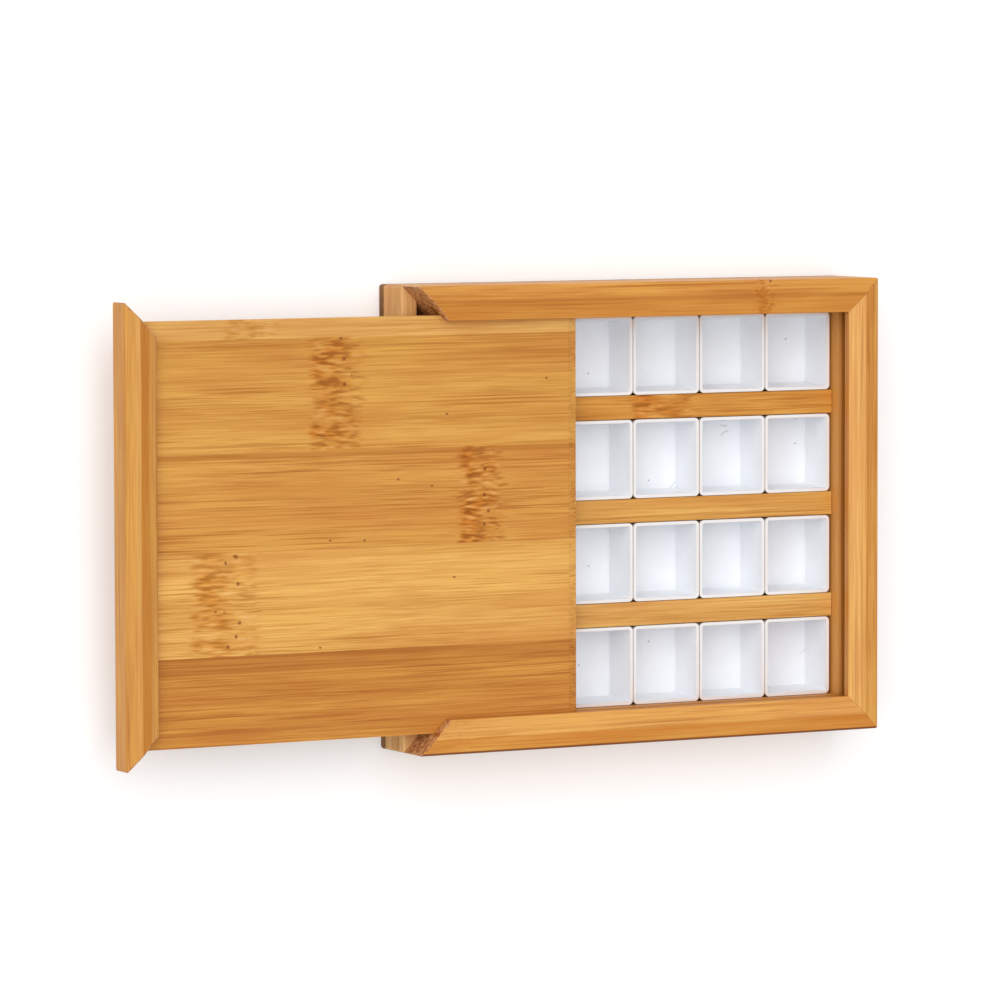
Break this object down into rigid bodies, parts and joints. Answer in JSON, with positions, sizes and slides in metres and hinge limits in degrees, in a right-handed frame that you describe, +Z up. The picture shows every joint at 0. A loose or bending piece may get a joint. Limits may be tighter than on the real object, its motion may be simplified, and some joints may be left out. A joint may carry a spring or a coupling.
{
  "type": "sliding-lid paint box",
  "caption": "Flat mitred bamboo box with a lid of glued staves that slides in grooves over rows of open white paint pans between slats",
  "frame": {"origin": "middle of the box's underside, in the plane of the table, lid travel not counted", "axes": "+Z up out of the open top, -X the way the lid is drawn out, +Y to the left of a person who draws the lid towards themselves"},
  "size_m": [0.2043, 0.112, 0.0211],
  "materials": {
    "bamboo_bottom": "planed and sanded bamboo, clear satin coat",
    "bamboo_side_rails": "planed and sanded bamboo, clear satin coat",
    "bamboo_end_rails": "planed and sanded bamboo, clear satin coat",
    "bamboo_front": "planed and sanded bamboo, clear satin coat",
    "bamboo_slats": "planed and sanded bamboo, clear satin coat",
    "bamboo_batten": "planed and sanded bamboo, clear satin coat",
    "bamboo_stave_1": "planed and sanded bamboo, clear satin coat",
    "bamboo_stave_2": "planed and sanded bamboo, clear satin coat",
    "bamboo_stave_3": "planed and sanded bamboo, clear satin coat",
    "bamboo_stave_4": "planed and sanded bamboo, clear satin coat",
    "bamboo_stave_5": "planed and sanded bamboo, clear satin coat",
    "pan_plastic": "injection-moulded white polystyrene, satin"
  },
  "bodies": {
    "box": {"bottom_panel": "bamboo_bottom", "side_wall_left": "bamboo_side_rails", "side_wall_right": "bamboo_side_rails", "rear_wall": "bamboo_end_rails", "front_wall": "bamboo_front", "divider_slat_1": "bamboo_slats", "divider_slat_2": "bamboo_slats", "divider_slat_3": "bamboo_slats", "pan_row1_col1": "pan_plastic", "pan_row1_col2": "pan_plastic", "pan_row2_col1": "pan_plastic", "pan_row2_col2": "pan_plastic", "pan_row3_col1": "pan_plastic", "pan_row3_col2": "pan_plastic", "pan_row4_col1": "pan_plastic", "pan_row4_col2": "pan_plastic"},
    "lid": {"lid_batten": "bamboo_batten", "lid_stave_1": "bamboo_stave_1", "lid_stave_2": "bamboo_stave_2", "lid_stave_3": "bamboo_stave_3", "lid_stave_4": "bamboo_stave_4", "lid_stave_5": "bamboo_stave_5"},
    "pan_1_3": {"pan_row1_col3": "pan_plastic"},
    "pan_1_4": {"pan_row1_col4": "pan_plastic"},
    "pan_1_5": {"pan_row1_col5": "pan_plastic"},
    "pan_1_6": {"pan_row1_col6": "pan_plastic"},
    "pan_2_3": {"pan_row2_col3": "pan_plastic"},
    "pan_2_4": {"pan_row2_col4": "pan_plastic"},
    "pan_2_5": {"pan_row2_col5": "pan_plastic"},
    "pan_2_6": {"pan_row2_col6": "pan_plastic"},
    "pan_3_3": {"pan_row3_col3": "pan_plastic"},
    "pan_3_4": {"pan_row3_col4": "pan_plastic"},
    "pan_3_5": {"pan_row3_col5": "pan_plastic"},
    "pan_3_6": {"pan_row3_col6": "pan_plastic"},
    "pan_4_3": {"pan_row4_col3": "pan_plastic"},
    "pan_4_4": {"pan_row4_col4": "pan_plastic"},
    "pan_4_5": {"pan_row4_col5": "pan_plastic"},
    "pan_4_6": {"pan_row4_col6": "pan_plastic"}
  },
  "joints": [
    {"name": "lid_slide", "type": "slide", "parent": "box", "child": "lid", "axis": [-1, 0, 0], "range_m": [-0.0763, 0.045]},
    {"name": "lift_pan_1_3", "type": "slide", "parent": "box", "child": "pan_1_3", "axis": [0, 0, 1], "range_m": [0, 0.025]},
    {"name": "lift_pan_1_4", "type": "slide", "parent": "box", "child": "pan_1_4", "axis": [0, 0, 1], "range_m": [0, 0.025]},
    {"name": "lift_pan_1_5", "type": "slide", "parent": "box", "child": "pan_1_5", "axis": [0, 0, 1], "range_m": [0, 0.025]},
    {"name": "lift_pan_1_6", "type": "slide", "parent": "box", "child": "pan_1_6", "axis": [0, 0, 1], "range_m": [0, 0.025]},
    {"name": "lift_pan_2_3", "type": "slide", "parent": "box", "child": "pan_2_3", "axis": [0, 0, 1], "range_m": [0, 0.025]},
    {"name": "lift_pan_2_4", "type": "slide", "parent": "box", "child": "pan_2_4", "axis": [0, 0, 1], "range_m": [0, 0.025]},
    {"name": "lift_pan_2_5", "type": "slide", "parent": "box", "child": "pan_2_5", "axis": [0, 0, 1], "range_m": [0, 0.025]},
    {"name": "lift_pan_2_6", "type": "slide", "parent": "box", "child": "pan_2_6", "axis": [0, 0, 1], "range_m": [0, 0.025]},
    {"name": "lift_pan_3_3", "type": "slide", "parent": "box", "child": "pan_3_3", "axis": [0, 0, 1], "range_m": [0, 0.025]},
    {"name": "lift_pan_3_4", "type": "slide", "parent": "box", "child": "pan_3_4", "axis": [0, 0, 1], "range_m": [0, 0.025]},
    {"name": "lift_pan_3_5", "type": "slide", "parent": "box", "child": "pan_3_5", "axis": [0, 0, 1], "range_m": [0, 0.025]},
    {"name": "lift_pan_3_6", "type": "slide", "parent": "box", "child": "pan_3_6", "axis": [0, 0, 1], "range_m": [0, 0.025]},
    {"name": "lift_pan_4_3", "type": "slide", "parent": "box", "child": "pan_4_3", "axis": [0, 0, 1], "range_m": [0, 0.025]},
    {"name": "lift_pan_4_4", "type": "slide", "parent": "box", "child": "pan_4_4", "axis": [0, 0, 1], "range_m": [0, 0.025]},
    {"name": "lift_pan_4_5", "type": "slide", "parent": "box", "child": "pan_4_5", "axis": [0, 0, 1], "range_m": [0, 0.025]},
    {"name": "lift_pan_4_6", "type": "slide", "parent": "box", "child": "pan_4_6", "axis": [0, 0, 1], "range_m": [0, 0.025]}
  ]
}
